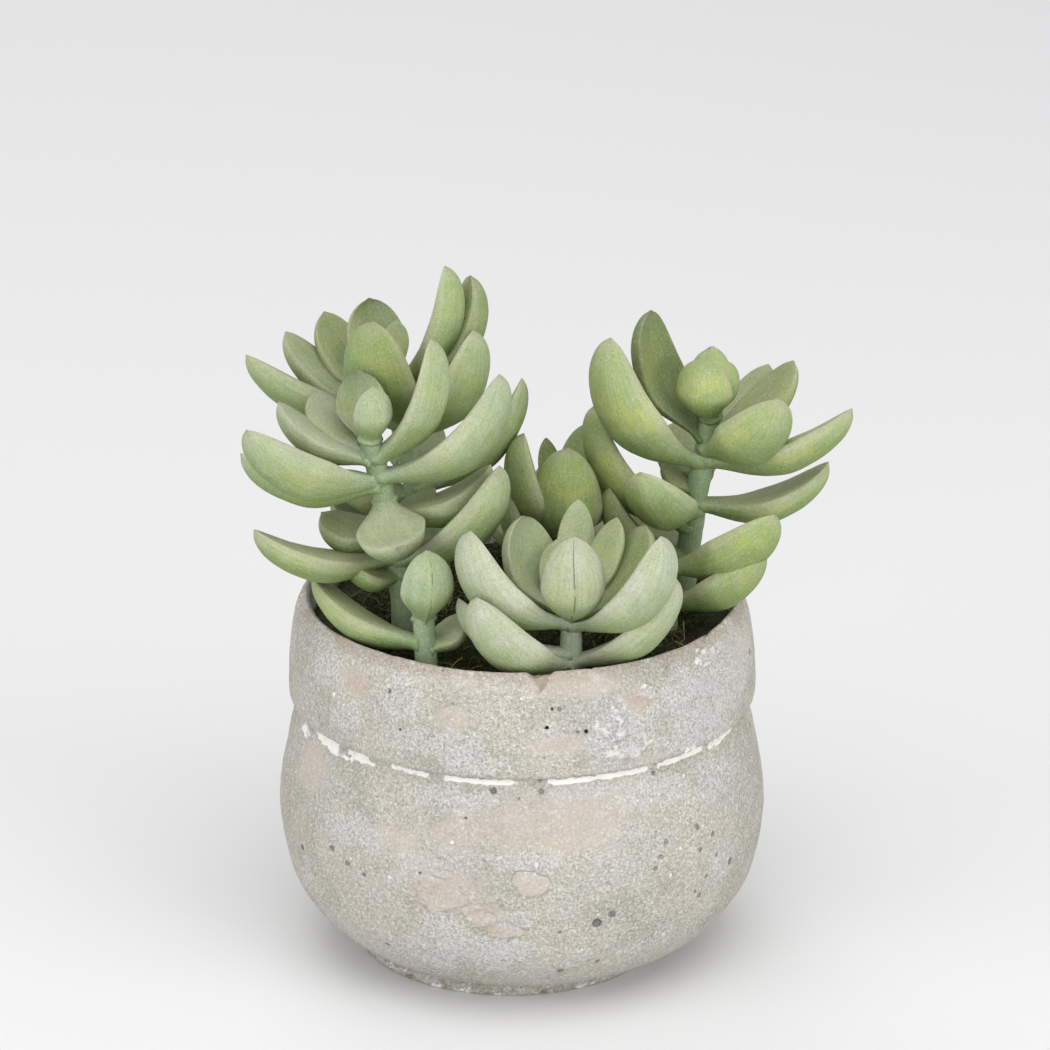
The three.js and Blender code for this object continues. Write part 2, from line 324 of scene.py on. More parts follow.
pot = {
    "segments": 430,
    "frontCrowding": 0.3,  # how much closer the segments stand at the front
    "rowSpacing": 0.62,
    "innerSpacing": 4.0,
    "footShift": -2.8,
    "body": [(40, 3), (46.4, 6.2), (51.2, 10), (56.2, 16), (59.9, 24), (61.9, 40), (59.4, 56), (57, 67.2)],
    "collar": [(58, 67.6), (59.2, 69.2), (58.8, 80), (57.7, 87.5), (56.2, 92), (54.4, 94.6), (53, 93.6)],
    "cavity": [(53, 90), (51.5, 60), (48.5, 30), (44, 16), (36, 11), (18, 11), (0.4, 11)],
    "foot": [(0.4, 0), (18, 0), (38.6, 0), (39.6, 0.4), (40, 1.2), (40, 3)],
    # azimuth, height, radius and the strength of the painted shade inside each air hole
    "pits": [
        (253, 86.2, 0.6, 1), (239.8, 77.7, 0.5, 0.9), (236.1, 86.7, 0.65, 0.6), (277.2, 86, 0.5, 1),
        (275.9, 81.4, 0.55, 1), (285.5, 79.7, 0.8, 1), (305.5, 91.2, 0.45, 0.9), (308.7, 91.2, 0.7, 0.9),
        (274.9, 91.3, 0.8, 0.7), (283.3, 79.6, 0.6, 0.25), (304.4, 64.6, 0.8, 0.5), (263, 64.3, 1, 0.6),
        (256.5, 57.2, 0.5, 0.6), (238.5, 58, 0.5, 0.5), (220, 41, 0.9, 0.4), (206.6, 35.5, 0.8, 0.7),
        (246.1, 42, 0.6, 0.5), (230.8, 37.4, 0.6, 0.6), (287.7, 29.1, 1.3, 0.55), (291.3, 31.1, 1, 0.4),
        (305.6, 47.2, 0.7, 0.35), (303.8, 43.8, 0.7, 0.35), (315.4, 48.1, 0.8, 0.45), (315.9, 42, 0.7, 0.35),
        (321.6, 38.5, 0.6, 0.35), (328.1, 34.1, 1, 0.55), (318.3, 33.9, 0.6, 0.35), (316.5, 29.1, 0.8, 0.3),
        (30, 48, 1.1, 0.5), (52, 84, 0.6, 0.9), (78, 30, 1, 0.5), (101, 58, 0.7, 0.8), (123, 80, 0.6, 0.9),
        (140, 41, 1.1, 0.5), (166, 26, 0.8, 0.5), (352, 61, 0.8, 0.6), (15, 27, 0.9, 0.5), (183, 72, 0.7, 0.8)],
    # azimuth, height and radius of the white crumbs that stand on it
    "crumbs": [
        (276.9, 93.4, 0.8), (260.5, 93, 0.6), (320.2, 92.7, 1.2), (332.3, 92.5, 0.9), (337.6, 92, 1),
        (328.7, 93, 0.7), (298.6, 59.1, 0.8), (302.4, 58.6, 1), (305, 59.4, 1.1), (306.2, 38.4, 1.1),
        (270.9, 46.4, 0.7), (273.4, 46.1, 0.8), (275.2, 45.8, 0.7), (193.7, 39.5, 1), (226.6, 40.7, 0.8),
        (217.8, 80.6, 0.9), (238.9, 23.5, 1), (244.6, 21.5, 1.2), (315, 45.2, 0.7), (324, 35.2, 0.8),
        (22, 90, 1), (48, 62, 0.9), (84, 92, 0.8), (112, 40, 1.1), (141, 91, 1), (158, 52, 0.9)],
    # azimuth, height, half width, half height and strength of the chalky, pinkish and rusty patches
    "powder": [
        (215, 86, 7, 5, 0.7), (239.5, 86, 5.5, 6, 1), (222, 77, 8, 6, 0.7), (250, 75.5, 13, 4.5, 1),
        (259, 72, 9, 3, 0.8), (276, 80, 4, 4, 0.6), (293, 78, 8, 7, 1), (318, 82, 14, 9, 1),
        (337, 82, 13, 9, 0.7), (314, 72, 16, 4, 0.9), (306, 60, 12, 4, 0.9), (325, 57, 12, 6, 0.7),
        (253, 61.5, 13, 3, 0.8), (284, 63.5, 14, 2, 0.7), (226, 48, 9, 5, 0.9), (245, 43, 8, 5, 0.6),
        # the front patches at heights 18 to 31, in this line and the next, are partly chalk and partly painted
        # light that brightens the lower body
        (272, 47, 9, 4, 0.8), (260, 21, 14, 6, 1), (246, 18, 10, 5, 0.8), (280, 19, 12, 4, 0.5),
        (301, 18, 9, 4, 0.5), (250, 27, 7, 4, 0.9), (269, 31, 6, 3, 0.8), (208, 26, 8, 5, 0.5),
        (325, 36, 8, 6, 0.5), (30, 78, 26, 9, 0.8), (75, 50, 20, 12, 0.7), (110, 84, 24, 7, 0.9),
        (150, 60, 22, 9, 0.8), (175, 84, 16, 8, 0.7), (5, 40, 14, 12, 0.6), (135, 22, 26, 6, 0.6)],
    "pink": [
        (277, 57, 24, 9, 1), (256, 53, 12, 6, 0.8), (253, 82, 5, 4, 1), (284, 91, 13, 3, 0.9),
        (257, 92, 10, 2, 0.5), (225, 86, 6, 4, 1), (207, 57, 9, 7, 0.9), (206, 41, 6, 6, 0.6),
        (240, 49, 9, 5, 0.7), (299, 85, 4.5, 4, 1), (278, 77, 8, 3, 0.8), (300, 70, 9, 2, 0.6),
        (251, 39, 14, 7, 0.9), (262, 33, 10, 4, 0.7), (50, 40, 24, 10, 0.8), (95, 70, 18, 7, 0.7),
        (160, 40, 26, 11, 0.8), (345, 86, 12, 4, 0.7), (20, 60, 12, 6, 0.6)],
    "rust": [
        (299.2, 84.8, 3.6, 3.4, 1), (225.3, 86.2, 5, 3, 0.9), (218.8, 93.6, 6, 1.2, 1),
        (252.7, 82, 2.6, 2.6, 0.5), (278.3, 77.5, 4.5, 2.4, 0.5), (247, 38.6, 5, 2.5, 0.9),
        (263, 28, 5, 1.5, 0.9), (70, 80, 6, 4, 0.7), (130, 52, 8, 4, 0.6)],
    # azimuth, height, half width and half height of the white crusts, of the smooth plates whose edges stand up,
    # and of the lime flakes at the groove
    "crusts": [
        (290.8, 82, 3.4, 3), (296, 73.8, 5.2, 2.6), (292.6, 78.2, 3, 2.2), (301.2, 77, 2.4, 2.4),
        (301.5, 87, 2.2, 1.4), (322, 90.2, 4.5, 1.6), (88, 78, 5, 3), (160, 76, 4, 3)],
    "plates": [
        (251.3, 37.5, 7.6, 4.6), (260.2, 31.6, 4.4, 2.3), (271.8, 41.6, 5, 3.6), (266.5, 28.5, 5.2, 2.4),
        (33, 44, 7, 4), (118, 36, 6, 4.5), (148, 66, 5, 3)],
    "flakes": [
        (200.5, 64.2, 3, 2), (213.8, 66.3, 6, 1.3), (218, 64.9, 4.5, 1.2), (224.2, 66.6, 4, 1.2),
        (229, 66, 4, 1), (314, 68.6, 2.6, 1.2), (326.5, 66, 4.2, 1.1), (333, 66.4, 3, 0.8),
        (20, 66, 7, 1.2), (70, 66.6, 6, 1.3), (155, 66, 8, 1.2), (110, 66.2, 5, 1)],
    # azimuth, height and radius of the bubbles that left a ring
    "bubbles": [(298.3, 56.7, 1.4), (295.8, 55, 1.7), (214.1, 42.5, 1.3), (88, 44, 1.7)],
    "limeHeight": 66.5,  # the line of lime in the groove, and the azimuths between which it is whole
    "limeHalf": 0.6,
    "limeStretches": [(236, 246.6), (249.4, 269.6), (275.4, 303.6), (305.6, 322), (35, 62), (84, 104), (120, 150)],
    "notch": (275.0, 92.3, 2.2),  # the chip under the rim
    # how far each mark stands up or sinks in, and the radius that nothing passes
    "relief": {
        "broad": 0.2, "middle": 0.1, "fine": 0.07, "inset": 0.3, "plateLip": 0.25, "plateTilt": 0.38, "ring": 0.3,
        "pit": 0.55, "notch": 0.8, "lime": 0.25, "flake": 0.45, "crust": 0.4, "crustEdge": 0.35, "crumb": 0.4,
        "rimChip": 0.5, "footChip": 0.9, "rimWave": 0.35},
    "outermost": 61.8,
}


def potRows():
    body, collar = (evenRun(smoothRun([Vector(p) for p in pot[name]], 12), pot["rowSpacing"])
                    for name in ("body", "collar"))
    cavity = evenRun([Vector(p) for p in pot["cavity"]], pot["innerSpacing"])
    under = evenRun([Vector(p) for p in pot["foot"][:3]], pot["innerSpacing"])
    edge = evenRun([Vector(p) for p in pot["foot"][2:]], pot["rowSpacing"])
    return under + edge[1:-1] + body + collar + cavity


def potRadius(height):
    line = sorted(pot["foot"][3:] + pot["body"] + pot["collar"][:-1], key=lambda p: p[1])
    return float(np.interp(height, [z for r, z in line], [r for r, z in line]))


def onPot(azimuth, height):
    turn = math.radians(azimuth)
    radius = potRadius(height)
    return Vector((radius * math.cos(turn), radius * math.sin(turn), height))


def awayFrom(places, azimuth, height):
    return np.linalg.norm(places - np.array(onPot(azimuth, height)), axis=1)


def noiseField(places, size, octaves=3, seed=0.0):  # about -1 to 1, in waves of this size in millimetres
    shift = Vector((seed, seed * 1.7, -seed))
    return np.array([noise.fractal(Vector(p) / size + shift, 1.0, 2.0, octaves) for p in places])


def smoothstep(value, low, high):
    t = np.clip((value - low) / (high - low), 0, 1)
    return t * t * (3 - 2 * t)


def band(value, start, full, fall, end):  # rises to one and falls again
    return smoothstep(value, start, full) * (1 - smoothstep(value, fall, end))


def patchField(places, patches, wobble):  # how deep each place lies in the nearest of the patches, 0 to 1
    field = np.zeros(len(places))
    for azimuth, height, halfWidth, halfHeight, *strength in patches:
        centre = onPot(azimuth, height)
        turn = math.radians(azimuth)
        x, y = places[:, 0] - centre.x, places[:, 1] - centre.y
        sideways = x * -math.sin(turn) + y * math.cos(turn)
        outward = x * math.cos(turn) + y * math.sin(turn)
        reach = np.hypot(sideways / halfWidth, (places[:, 2] - height) / halfHeight) + wobble
        depth = (strength or [1.0])[0] * smoothstep(reach, 1.5, 0.3)
        field = np.maximum(field, np.where(np.abs(outward) < 25, depth, 0))
    return field


def turnedRows(rows, segments):  # the profile turned round the axis: places, normals and azimuths
    steps = np.linspace(-math.pi, math.pi, segments, endpoint=False)
    turns = steps - pot["frontCrowding"] * np.sin(steps) - math.pi / 2
    line = np.array([(p.x, p.y) for p in rows])
    slope = np.gradient(line, axis=0)
    outward = np.stack([slope[:, 1], -slope[:, 0]], axis=1)
    outward /= np.linalg.norm(outward, axis=1, keepdims=True)
    places, normals = (
        np.stack([np.outer(pairs[:, 0], np.cos(turns)), np.outer(pairs[:, 0], np.sin(turns)),
                  np.repeat(pairs[:, 1:2], segments, axis=1)], axis=2).reshape(-1, 3) for pairs in (line, outward))
    return places, normals, np.tile(np.degrees(turns) % 360, len(rows))


def notchField(places, middle):  # a heart-shaped chip that narrows downwards
    azimuth, heightAt, size = pot["notch"]
    centre = np.array(onPot(azimuth, heightAt))
    turn = math.radians(azimuth)
    side = (places - centre) @ np.array((-math.sin(turn), math.cos(turn), 0)) / size
    drop = (places[:, 2] - heightAt) / size
    heart = np.abs(side + 0.1) * 0.9 - 0.6 * (drop + 1.0) + 0.15 * middle
    return smoothstep(heart, 0.25, -0.15) * smoothstep(drop, 1.5, 1.0) * ((places @ centre) > 0) * (drop > -2)


def makePotMesh():
    rows, segments, relief = potRows(), pot["segments"], pot["relief"]
    places, normals, azimuth = turnedRows(rows, segments)
    height, radius = places[:, 2], np.hypot(places[:, 0], places[:, 1])
    outside = ((radius > 52.5) | (height < 20)) & (height > 0.5) & (radius > 37)

    broad = noiseField(places, 34, 2, 3.1)
    middle = noiseField(places, 7, 3, 7.7)
    fine = noiseField(places, 2.2, 3, 1.3)
    powder = patchField(places, pot["powder"], 0.25 * middle)
    pink = patchField(places, pot["pink"], 0.25 * middle)
    rust = patchField(places, pot["rust"], 0.35 * middle)
    plate, plateShadows, plateHighlights, lime = np.zeros((4, len(places)))
    move = relief["broad"] * broad + relief["middle"] * middle + relief["fine"] * fine * (1 - 0.7 * pink)
    move -= relief["inset"]

    # each plate tilts outwards below; along its lower edge runs a painted shadow, and along its upper lip a
    # painted highlight
    for patch in pot["plates"]:
        shape = patchField(places, [patch], 0.5 * middle + 0.15 * fine)
        inside = smoothstep(shape, 0.42, 0.55)
        lip = band(shape, 0.22, 0.45, 0.5, 0.75)
        lower = np.clip((patch[1] - height) / patch[3], -1, 1)
        move += relief["plateLip"] * lip * smoothstep(middle, -0.4, 0.4)
        move += inside * (0.1 + relief["plateTilt"] * lower - 0.05 * fine)
        plate = np.maximum(plate, shape)
        # painted shadow: a dark band inside the plate's lower edge
        crease = band(shape, 0.16, 0.34, 0.42, 0.52) * smoothstep(lower, -0.1, 0.6)
        plateShadows = np.maximum(plateShadows, crease * (0.75 + fine))
        # painted highlight: the upper part of the plate's lip
        plateHighlights = np.maximum(plateHighlights, lip * smoothstep(lower, 0.3, -0.5) * (0.5 + middle))

    for *spotAt, size in pot["bubbles"]:
        away = awayFrom(places, *spotAt) / size
        move += relief["ring"] * np.exp(-((away - 1) / 0.25) ** 2) - 0.12 * (away < 0.8)
    for *spotAt, size, _ in pot["pits"]:
        move -= relief["pit"] * size * smoothstep(awayFrom(places, *spotAt), size * 1.25, size * 0.5)
    notch = notchField(places, middle)
    move -= relief["notch"] * notch

    # lime in the groove, in flakes, in crusts and in crumbs
    groove = smoothstep(np.abs(height - pot["limeHeight"] - 0.25 * middle) / pot["limeHalf"], 1.35, 0.75)
    along = azimuth + 1.5 * fine
    for start, end in pot["limeStretches"]:
        stretch = smoothstep(along, start, start + 1.2) * smoothstep(along, end, end - 1.2)
        lime = np.maximum(lime, 0.85 * groove * stretch)
    flakes = smoothstep(patchField(places, pot["flakes"], 0.55 * middle + 0.3 * fine), 0.35, 0.6)
    # the lime also lays the painted highlight on the plates' upper lips
    lime = np.maximum.reduce([lime, 0.5 * plateHighlights, (0.66 + 0.2 * fine) * flakes])
    move += relief["lime"] * lime + relief["flake"] * flakes * (0.6 + 0.8 * fine)
    crust = patchField(places, pot["crusts"], 0.4 * middle + 0.4 * fine)
    crustTop = smoothstep(crust, 0.2, 0.4)
    crustEdge = band(crust, 0.2, 0.4, 0.45, 0.8)
    move += relief["crust"] * crustTop + relief["crustEdge"] * crustEdge * (0.7 + fine)
    powder = np.maximum(powder, smoothstep(crust, 0.15, 0.45))
    lime = np.maximum(lime, 0.3 * crustTop + 0.26 * crustEdge)
    for *spotAt, size in pot["crumbs"]:
        away = awayFrom(places, *spotAt) / size + 0.4 * fine
        move += relief["crumb"] * size * smoothstep(away, 1.1, 0.3)
        lime = np.maximum(lime, 0.55 * smoothstep(away, 1.0, 0.4))

    # the chipped edges of the rim and the foot
    rimChips = smoothstep(noiseField(places, 3.2, 2, 9.4), 0.35, 0.75) * smoothstep(height, 92, 94.4)
    footSide = radius > 36
    footChips = smoothstep(noiseField(places, 4.5, 3, 5.2), 0.05, 0.6) * smoothstep(height, 4.5, 1.0) * footSide
    move -= relief["rimChip"] * rimChips + relief["footChip"] * footChips
    footWhite = smoothstep(noiseField(places, 3.4, 3, 2.6), 0.0, 0.5) * smoothstep(height, 4.5, 2.5) * footSide
    lime = np.maximum(lime, 0.5 * footWhite * (1 - footChips))
    # the scar brown of chips also carries the painted shadow below the plates
    chipAndShadow = np.maximum.reduce([rimChips, 0.8 * footChips, 0.85 * notch, 0.75 * plateShadows])

    rimWave = smoothstep(radius, 52, 54) * smoothstep(height, 86, 94)
    foot = smoothstep(height, 3.2, 2.8)
    move = np.where(outside, np.minimum(move, pot["outermost"] - radius), 0)
    places = places + normals * move[:, None]
    places[:, 2] += rimWave * (relief["rimWave"] * broad - 0.1)
    places[:, 0] += pot["footShift"] * foot
    places[:, 2] = np.maximum(places[:, 2], 0)

    faces = [(low + s, low + (s + 1) % segments, low + segments + (s + 1) % segments, low + segments + s)
             for low in range(0, (len(rows) - 1) * segments, segments) for s in range(segments)]
    faces += [tuple(reversed(range(segments))), tuple(range(len(places) - segments, len(places)))]
    mesh = bpy.data.meshes.new("pot")
    mesh.from_pydata([tuple(p) for p in places * mm], [], faces)
    shares = {"powder": powder, "pink": pink, "plate": plate, "lime": lime, "rust": rust, "chipAndShadow": chipAndShadow}
    for name, values in shares.items():
        mesh.attributes.new(name, "FLOAT", "POINT").data.foreach_set("value", values.astype(np.float32))
    mesh.shade_smooth()
    return mesh


cement = {
    "grey": srgb(170, 168, 156), "beige": srgb(187, 183, 170), "rose": srgb(187, 172, 160),
    "chalk": srgb(233, 232, 230), "lime": srgb(246, 244, 238), "scarAndShadow": srgb(160, 143, 128),
    "lavender": srgb(186, 184, 183), "lavenderChalk": srgb(226, 224, 226), "rust": srgb(172, 147, 127),
    "dust": srgb(128, 124, 113), "holeShadeBlack": srgb(30, 27, 24), "holeShadeGrey": srgb(118, 114, 103),
    "roughness": 0.92,
    "gloss": 0.25,
    # how much of itself each layer shows
    "hazeShare": 0.5, "roseShare": 0.66, "rustShare": 0.36, "powderShare": 0.48, "chalkShare": 0.72,
    "rimShare": 0.4, "scarAndShadowShare": 0.7, "crumbShare": 0.7, "holeShare": 0.75,
    "bumpDepth": 0.5 * mm,
}


def cementMaterial():
    material, shader, place = newMaterial("castCement", cement["roughness"], cement["gloss"])
    tree = place.tree
    pink, plateShare, powder, lime, rust, chipAndShadow = painted(tree, "pink", "plate", "powder", "lime", "rust", "chipAndShadow")

    def broken(share, scale, raggedness, softness):
        return useGroup(
            brokenEdge, Place=place, Share=share, Scale=scale, Raggedness=raggedness, Softness=softness)

    def cells(where, scale, axis, least, largest):  # how far from the middle of a cell, and a size drawn for it
        away = make(tree, "ShaderNodeTexVoronoi", {"Vector": where, "Scale": scale}, "Distance")
        return away, ramp(calc("DOT_PRODUCT", away.also("Color"), axis), least, 1.0, 0.0, largest)

    # broad greenish grey and beige clouds, a lavender haze, smooth pinkish places and a few rusty ones
    paint = Paint(cement, "grey")
    paint.layer(cloudsAt(place, 0.4, 0.6, 42.0, 4.0, 0.6), "beige")
    haze = cloudsAt(place + (0.2, 0.5, 0.1), 0.48, 0.62, 62.0, 5.0, 0.65)
    paint.layer(haze * cement["hazeShare"], "lavender")
    plate = broken(plateShare, 220.0, 0.5, 0.12)
    smoothness = larger(broken(pink, 130.0, 0.8, 0.55) * 0.7, plate * 0.65)
    rough = (1.0 - smoothness) ** 1.5
    paint.layer(smoothness * cement["roseShare"], "rose")
    paint.layer(broken(rust, 260.0, 0.7, 0.45) * cement["rustShare"], "rust")

    # the plates stand up along parts of their edge
    lip = ramp(abs(plate - 0.5), 0.45, 0.1) * cloudsAt(place, 0.42, 0.58, 150.0) * ramp(plateShare, 0.1, 0.3)

    # chalky powder in fine grains, thick where it is painted and thin everywhere
    soft = broken(powder, 150.0, 0.8, 0.4)
    paint.layer(soft * cement["powderShare"], "lavenderChalk")
    grain = cloudsAt(place, 0.3, 0.7, 1500.0, 4.0, 0.75)
    cover = (soft * 0.62 + cloudsAt(place, 0.35, 0.65, 120.0, 4.0, 0.7) * 0.24) * (rough * 0.6 + 0.4)
    chalk = larger(ramp(grain - (0.95 - cover * 0.72), -0.1, 0.16), lip * 0.7)
    paint.layer(chalk * cement["chalkShare"], "chalk")

    # sand: a mottling, then dark and light grains
    mottle = noiseAt(place + (0.7, 0.2, 0.4), 1150.0, 3.0, 0.75)
    amount = rough * 0.34 + 0.12
    paint.layer(ramp(mottle, 0.48, 0.32) * amount, "dust")
    paint.layer(ramp(mottle, 0.52, 0.66) * amount, "lime")
    shifted = place + (0.37, 0.11, 0.53)
    dots = useGroup(speckle, Place=place, Scale=1800.0, Threshold=0.5, Softness=0.15)
    paint.layer(dots * (rough * 0.45 + (soft * 0.06 + 0.06)), "dust")
    dots = useGroup(speckle, Place=shifted, Scale=1700.0, Threshold=0.48, Softness=0.24)
    paint.layer(dots * (rough * 0.3 + 0.1), "lime")
    rim = ramp(separated(place, "Z"), 90.5 * mm, 93.5 * mm) * ramp(haze, 0.7, 0.1)
    paint.layer(rim * cement["rimShare"], "scarAndShadow")

    # white crumbs, lime in the groove and a painted highlight in lime on the plates' upper lips, brown scars where
    # the casting is chipped and a painted shadow in the same brown below the plates
    away, size = cells(shifted, 190.0, (0.0, 1.0, 0.0), 0.6, 0.13)
    crumbs = ramp(noiseAt(place, 1300.0) * 0.16 + away - size, 0.09, 0.05)
    paint.layer(larger(broken(lime, 480.0, 0.9, 0.14), crumbs * cement["crumbShare"]), "lime")
    # chips, and the painted shadow below the plates, in scar brown
    paint.layer(broken(chipAndShadow, 420.0, 0.5, 0.15) * cement["scarAndShadowShare"], "scarAndShadow")

    # air holes, their insides filled with painted shade: a few placed ones, and many small ones where they crowd
    away, size = cells(place, 210.0, (1.0, 0.0, 0.0), 0.72, 0.2)
    small = away < size * cloudsAt(place, 0.4, 0.6, 45.0)
    paint.layer(small * cement["holeShare"], "holeShadeGrey")
    holes = small * 0.6
    for azimuth, height, radius, shadeInHole in pot["pits"]:
        mark = useGroup(spot, Place=place, Centre=onPot(azimuth, height) * mm, Radius=radius * mm)
        paint.layer(mark * shadeInHole, "holeShadeBlack")
        holes = larger(holes, mark)

    relief = noiseAt(place, 1100.0, 3.0, 0.7) * (rough + 0.4)
    relief = noiseAt(place, 330.0, 5.0, 0.7) * (rough * 1.7 + 0.7) + relief
    relief = grain * soft * 0.5 + crumbs * 0.6 + lip * 0.6 - holes * 1.6 + relief
    coat(shader, paint.colour, relief, cement["bumpDepth"])
    return material


newPiece("castPot", makePotMesh(), cementMaterial(), "pot")
print("pot cast")


# The soil keeps its solid, under the moss.

def crumbMaterial():
    material, shader, place = newMaterial("pottingSoil", 0.95)
    crumbs = noiseAt(place, 420.0, 5.0, 0.7)
    colour = blend(ramp(crumbs, 0.4, 0.65), srgb(38, 30, 22), srgb(74, 58, 42))
    coat(shader, colour, crumbs, 1.0 * mm)
    return material


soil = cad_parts["soil"]
soil.data.materials.clear()
soil.data.materials.append(crumbMaterial())


# The moss: a lumpy mat with loose fibres on it.

moss = {
    "bottom": 84.3,
    "thickness": 2.2,
    "radius": 52.3,
    "rings": 40,
    "segments": 140,
    "lump": 1.1,
    "reach": 44.5,  # how far out a fibre may stand
    "fibres": 0.5,  # for each square millimetre
    "fibreLength": 7.0,
    "fibreRadius": 0.16,
    "turns": ((-0.5, -0.9, 0.0), (0.5, 0.35, 6.283)),  # the least and the most that a fibre is turned
    "sizes": (0.35, 1.15),
    "seed": 11,
    "earth": srgb(30, 28, 16), "olive": srgb(62, 62, 30), "fresh": srgb(86, 94, 38), "straw": srgb(132, 130, 72),
}


def mossHeight(x, y):
    broad = noise.fractal(Vector((x, y, 3.0)) / 9, 1.0, 2.0, 3)
    fine = noise.noise(Vector((x, y, 9.0)) / 2.2)
    return moss["bottom"] + moss["thickness"] + moss["lump"] * (broad + 0.35 * fine)


def mossMat():
    segments, rings, size = moss["segments"], moss["rings"], moss["radius"]
    turns = [2 * math.pi * s / segments for s in range(segments)]
    places = [Vector((0, 0, mossHeight(0, 0)))]
    for ring in range(1, rings + 1):
        radius = size * ring / rings
        for turn in turns:
            x, y = radius * math.cos(turn), radius * math.sin(turn)
            places.append(Vector((x, y, mossHeight(x, y))))
    edge = len(places)
    places += [Vector((size * math.cos(turn), size * math.sin(turn), moss["bottom"])) for turn in turns]
    faces = []
    for s in range(segments):
        t = (s + 1) % segments
        faces.append((0, 1 + s, 1 + t))
        for near in range(1, edge - segments, segments):
            far = near + segments
            faces.append((near + s, far + s, far + t, near + t))
    outer = edge - segments
    for s in range(segments):
        t = (s + 1) % segments
        faces.append((outer + s, edge + s, edge + t, outer + t))
    faces.append(tuple(reversed(range(edge, edge + segments))))
    mesh = bpy.data.meshes.new("mossMat")
    mesh.from_pydata([p * mm for p in places], [], faces)
    mesh.shade_smooth()
    return mesh


def geo(tree, kind, *rest, **settings):
    return make(tree, "GeometryNode" + kind, *rest, **settings)


def store(geometry, name, value, sort="FLOAT", domain="POINT"):
    inputs = {"Geometry": geometry, "Name": name, "Value": value}
    return geo(geometry.tree, "StoreNamedAttribute", inputs, data_type=sort, domain=domain)


def joined(*geometries):
    return geo(geometries[0].tree, "JoinGeometry", {0: list(geometries)})


def closeTree(geometry, given, result):  # realized, and given its material
    real = geo(geometry.tree, "RealizeInstances", {"Geometry": geometry})
    link(geo(geometry.tree, "SetMaterial", {"Geometry": real, "Material": given["Material"]}), result)


def mossFibreTree():
    tree, given, result = newGroup("mossFibres", {
        "Geometry": "Geometry", "Density": 1.0, "Length": 1.0, "Radius": 1.0, "Reach": 1.0, "Seed": 0,
        "Material": "Material"}, "GeometryNodeTree")
    ground, length = given["Geometry"], given["Length"]
    bend = geo(tree, "CurveQuadraticBezier", {
        "Resolution": 5, "Start": (0, 0, 0), "Middle": combined(tree, length * 0.45, 0.0, length * 0.42),
        "End": combined(tree, length, length * 0.25)})
    section = geo(tree, "CurvePrimitiveCircle", {"Resolution": 3, "Radius": given["Radius"]})
    fibre = geo(tree, "CurveToMesh", {"Curve": bend, "Profile Curve": section, "Fill Caps": True})
    facingUp = calc("DOT_PRODUCT", geo(tree, "InputNormal"), (0.0, 0.0, 1.0)) > 0.5
    inside = calc("LENGTH", geo(tree, "InputPosition") * (1.0, 1.0, 0.0)) < given["Reach"]
    points = geo(tree, "DistributePointsOnFaces", {
        "Mesh": ground, "Selection": facingUp * inside, "Density": given["Density"], "Seed": given["Seed"]})

    def drawn(sort, output, inputs):
        return make(tree, "FunctionNodeRandomValue", dict(inputs, Seed=given["Seed"]), output, data_type=sort)

    turn = drawn("FLOAT_VECTOR", 0, dict(enumerate(moss["turns"])))
    size = drawn("FLOAT", 1, {2: moss["sizes"][0], 3: moss["sizes"][1]})
    tone = drawn("FLOAT", 1, {"ID": geo(tree, "InputIndex")})
    fibres = geo(tree, "InstanceOnPoints", {
        "Points": points, "Instance": fibre, "Rotation": turn, "Scale": size})
    fibres = store(fibres, "fibreTone", tone, domain="INSTANCE")
    closeTree(joined(fibres, ground), given, result)
    return tree


def throughTree(name, mesh, tree, inputs):  # runs a geometry tree on the mesh and returns the plain mesh it makes
    holder = newObject(name, mesh)
    modifier = holder.modifiers.new(tree.name, "NODES")
    modifier.node_group = tree
    for item in tree.interface.items_tree:
        if item.item_type == "SOCKET" and item.in_out == "INPUT" and item.name in inputs:
            modifier[item.identifier] = inputs[item.name]
    depsgraph = bpy.context.evaluated_depsgraph_get()
    made = bpy.data.meshes.new_from_object(holder.evaluated_get(depsgraph), depsgraph=depsgraph)
    made.name = name
    bpy.data.objects.remove(holder)
    return made


def mossMaterial():
    material, shader, place = newMaterial("darkMoss", 0.85)
    tone, = painted(place.tree, "fibreTone")
    paint = Paint(moss, "earth")
    paint.layer(cloudsAt(place, 0.35, 0.65, 150.0, 3.0), "olive")
    paint.layer(ramp(tone, 0.35, 0.75), "fresh")
    paint.layer(ramp(tone, 0.86, 0.95), "straw")
    coat(shader, paint.colour, noiseAt(place, 700.0, 3.0, 0.7), 0.6 * mm)
    return material


def makeMoss():
    material = mossMaterial()
    mesh = throughTree("mossMat", mossMat(), mossFibreTree(), {
        "Density": moss["fibres"] / mm ** 2,
        "Length": moss["fibreLength"] * mm,
        "Radius": moss["fibreRadius"] * mm,
        "Reach": moss["reach"] * mm,
        "Seed": moss["seed"],
        "Material": material,
    })
    newPiece("mossMat", mesh, material, "moss")


makeMoss()
print("moss laid")


# The leafy stems, all in millimetres and degrees.

leafShape = {
    "Rings": 44,
    "Sides": 40,
    "Neck Width": 5.0 * mm,
    "Neck Thickness": 4.4 * mm,
    "Top Bulge": 0.13,
    "Belly Bulge": 0.42,
    "Widest": 0.52,
    "Tip Taper": 4.0,
    "Tip Roundness": 0.56,
    "Edge Crispness": 1.5,
    "Nib": 0.4 * mm,
    "Tip Pull": 0.55 * mm,
    "Fold Depth": 0.12,
    "Lump": 0.35 * mm,
    "Lump Scale": 95.0,
}

stemShape = {"rootRadius": 3.4, "topRadius": 2.6, "rootDepth": 20.0, "steps": 40, "sides": 20}
